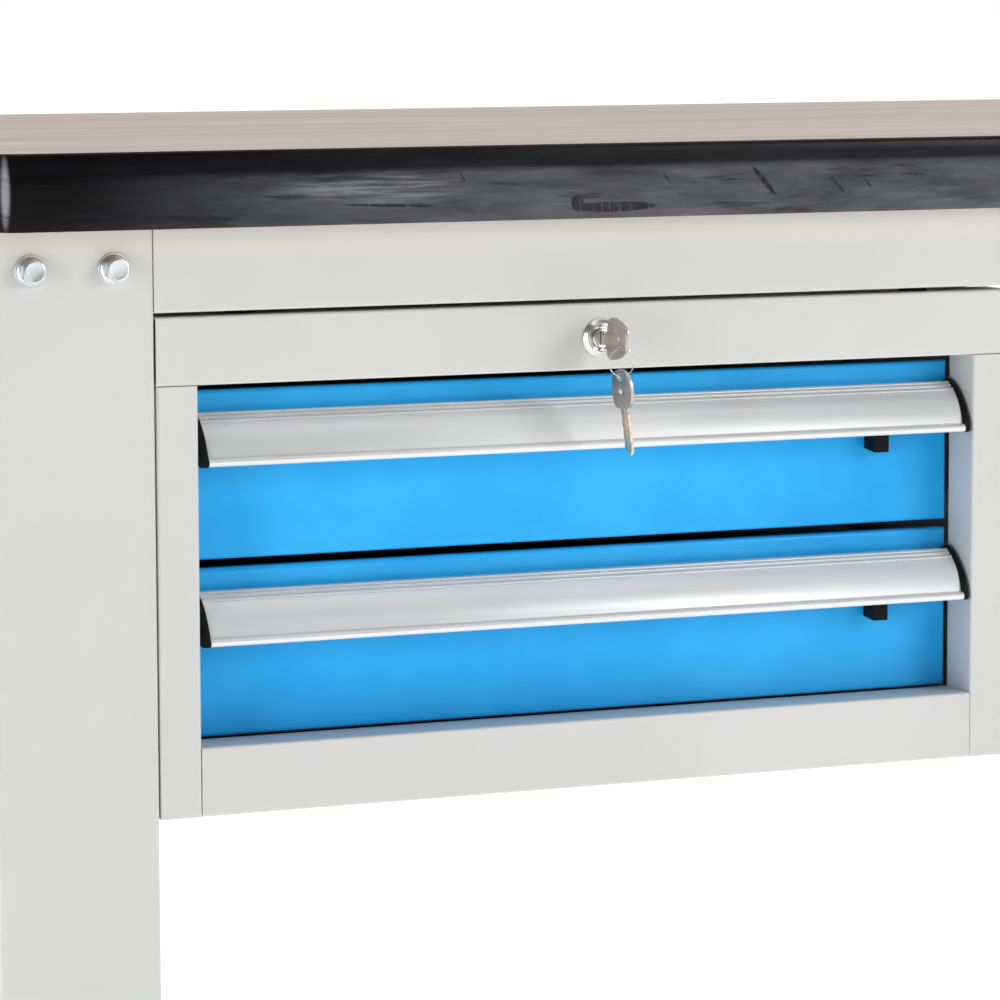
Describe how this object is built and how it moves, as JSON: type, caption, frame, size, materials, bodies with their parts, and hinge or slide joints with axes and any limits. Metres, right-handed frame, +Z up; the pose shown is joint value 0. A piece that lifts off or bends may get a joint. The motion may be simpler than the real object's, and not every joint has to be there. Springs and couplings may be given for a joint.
{
  "type": "workbench with drawers",
  "caption": "Steel workbench with a rubber-edged wood-look top and a lockable under-hung drawer cabinet with full-width bar handles.",
  "frame": {"origin": "on the floor, under the centre of the box round the whole bench with its keys", "axes": "+X along the bench to the right, +Y to the back (the drawers face -Y), +Z up"},
  "size_m": [1.5, 0.7748, 0.85],
  "materials": {
    "grey_paint": "light grey powder coat",
    "blue_paint": "bright blue powder coat",
    "wood_top": "pale streaked wood-look laminate",
    "board": "pressed board",
    "edge_rubber": "satin black edge band",
    "zinc": "bright zinc plate",
    "galvanised": "dull zinc plate",
    "anodised": "satin anodised extrusion",
    "black_plastic": "satin black",
    "chrome": "polished nickel",
    "key_metal": "worn nickel plate"
  },
  "bodies": {
    "bench": {"cabinet_back": "grey_paint", "cabinet_bolts": "zinc", "cabinet_bottom": "grey_paint", "cabinet_left_side": "grey_paint", "cabinet_right_side": "grey_paint", "cabinet_top": "grey_paint", "frame_nuts": "zinc", "frame_washers": "zinc", "front_beam": "grey_paint", "front_frame_bolts": "zinc", "left_bottom_rail": "grey_paint", "left_front_post": "grey_paint", "left_rear_post": "grey_paint", "left_stile": "grey_paint", "left_top_rail": "grey_paint", "lock_body": "chrome", "lock_nut": "galvanised", "lower_rail": "grey_paint", "lower_slide_outer": "galvanised", "lower_stringer": "grey_paint", "rear_beam": "grey_paint", "rear_frame_bolts": "zinc", "right_bottom_rail": "grey_paint", "right_front_post": "grey_paint", "right_rear_post": "grey_paint", "right_stile": "grey_paint", "right_top_rail": "grey_paint", "upper_rail": "grey_paint", "upper_slide_outer": "galvanised", "worktop_board": "board", "worktop_edge": "edge_rubber", "worktop_laminate": "wood_top", "worktop_screws": "zinc"},
    "upper_drawer": {"upper_drawer_front": "blue_paint", "upper_drawer_tray": "grey_paint", "upper_drawer_handle": "anodised", "upper_handle_left_cap": "black_plastic", "upper_handle_right_cap": "black_plastic", "upper_handle_screws": "zinc", "upper_slide_inner": "galvanised"},
    "upper_catch": {"upper_catch": "black_plastic"},
    "lower_drawer": {"lower_drawer_front": "blue_paint", "lower_drawer_tray": "grey_paint", "lower_drawer_handle": "anodised", "lower_handle_left_cap": "black_plastic", "lower_handle_right_cap": "black_plastic", "lower_handle_screws": "zinc", "lower_slide_inner": "galvanised"},
    "lower_catch": {"lower_catch": "black_plastic"},
    "lock_plug": {"lock_plug": "chrome", "lock_cam": "galvanised", "key_in_lock": "key_metal"},
    "lock_bar": {"lock_bar": "galvanised"},
    "key_ring": {"key_ring": "chrome"},
    "hanging_key": {"hanging_key": "key_metal"},
    "foot_left_front": {"foot_left_front": "black_plastic"},
    "foot_left_rear": {"foot_left_rear": "black_plastic"},
    "foot_right_front": {"foot_right_front": "black_plastic"},
    "foot_right_rear": {"foot_right_rear": "black_plastic"}
  },
  "joints": [
    {"name": "upper_drawer_slide", "type": "slide", "parent": "bench", "child": "upper_drawer", "axis": [0, -1, 0], "range_m": [0, 0.5]},
    {"name": "upper_catch_slide", "type": "slide", "parent": "upper_drawer", "child": "upper_catch", "axis": [-1, 0, 0], "range_m": [0, 0.006], "stiffness_N_per_m": 300},
    {"name": "lower_drawer_slide", "type": "slide", "parent": "bench", "child": "lower_drawer", "axis": [0, -1, 0], "range_m": [0, 0.5]},
    {"name": "lower_catch_slide", "type": "slide", "parent": "lower_drawer", "child": "lower_catch", "axis": [-1, 0, 0], "range_m": [0, 0.006], "stiffness_N_per_m": 300},
    {"name": "lock_turn", "type": "hinge", "parent": "bench", "child": "lock_plug", "pos_m": [-0.3558, -0.3444, 0.7287], "axis": [0, 1, 0], "range_deg": [0, 95]},
    {"name": "lock_bar_slide", "type": "slide", "parent": "bench", "child": "lock_bar", "axis": [-1, 0, 0], "range_m": [0, 0.008]},
    {"name": "ring_swing", "type": "hinge", "parent": "lock_plug", "child": "key_ring", "pos_m": [-0.3558, -0.3774, 0.724], "axis": [-1, 0, 0], "range_deg": [0, 45]},
    {"name": "hanging_key_swing", "type": "hinge", "parent": "key_ring", "child": "hanging_key", "pos_m": [-0.3558, -0.3774, 0.7076], "axis": [-1, 0, 0], "range_deg": [0, 45]},
    {"name": "foot_left_front_turn", "type": "hinge", "parent": "bench", "child": "foot_left_front", "pos_m": [-0.697, -0.3194, 0.03], "axis": [0, 0, 1], "continuous": true},
    {"name": "foot_left_rear_turn", "type": "hinge", "parent": "bench", "child": "foot_left_rear", "pos_m": [-0.697, 0.35, 0.03], "axis": [0, 0, 1], "continuous": true},
    {"name": "foot_right_front_turn", "type": "hinge", "parent": "bench", "child": "foot_right_front", "pos_m": [0.697, -0.3194, 0.03], "axis": [0, 0, 1], "continuous": true},
    {"name": "foot_right_rear_turn", "type": "hinge", "parent": "bench", "child": "foot_right_rear", "pos_m": [0.697, 0.35, 0.03], "axis": [0, 0, 1], "continuous": true}
  ],
  "couplings": [
    {"joint": "lock_turn", "follows": "lock_bar_slide", "rad_per_m": 196.35}
  ]
}
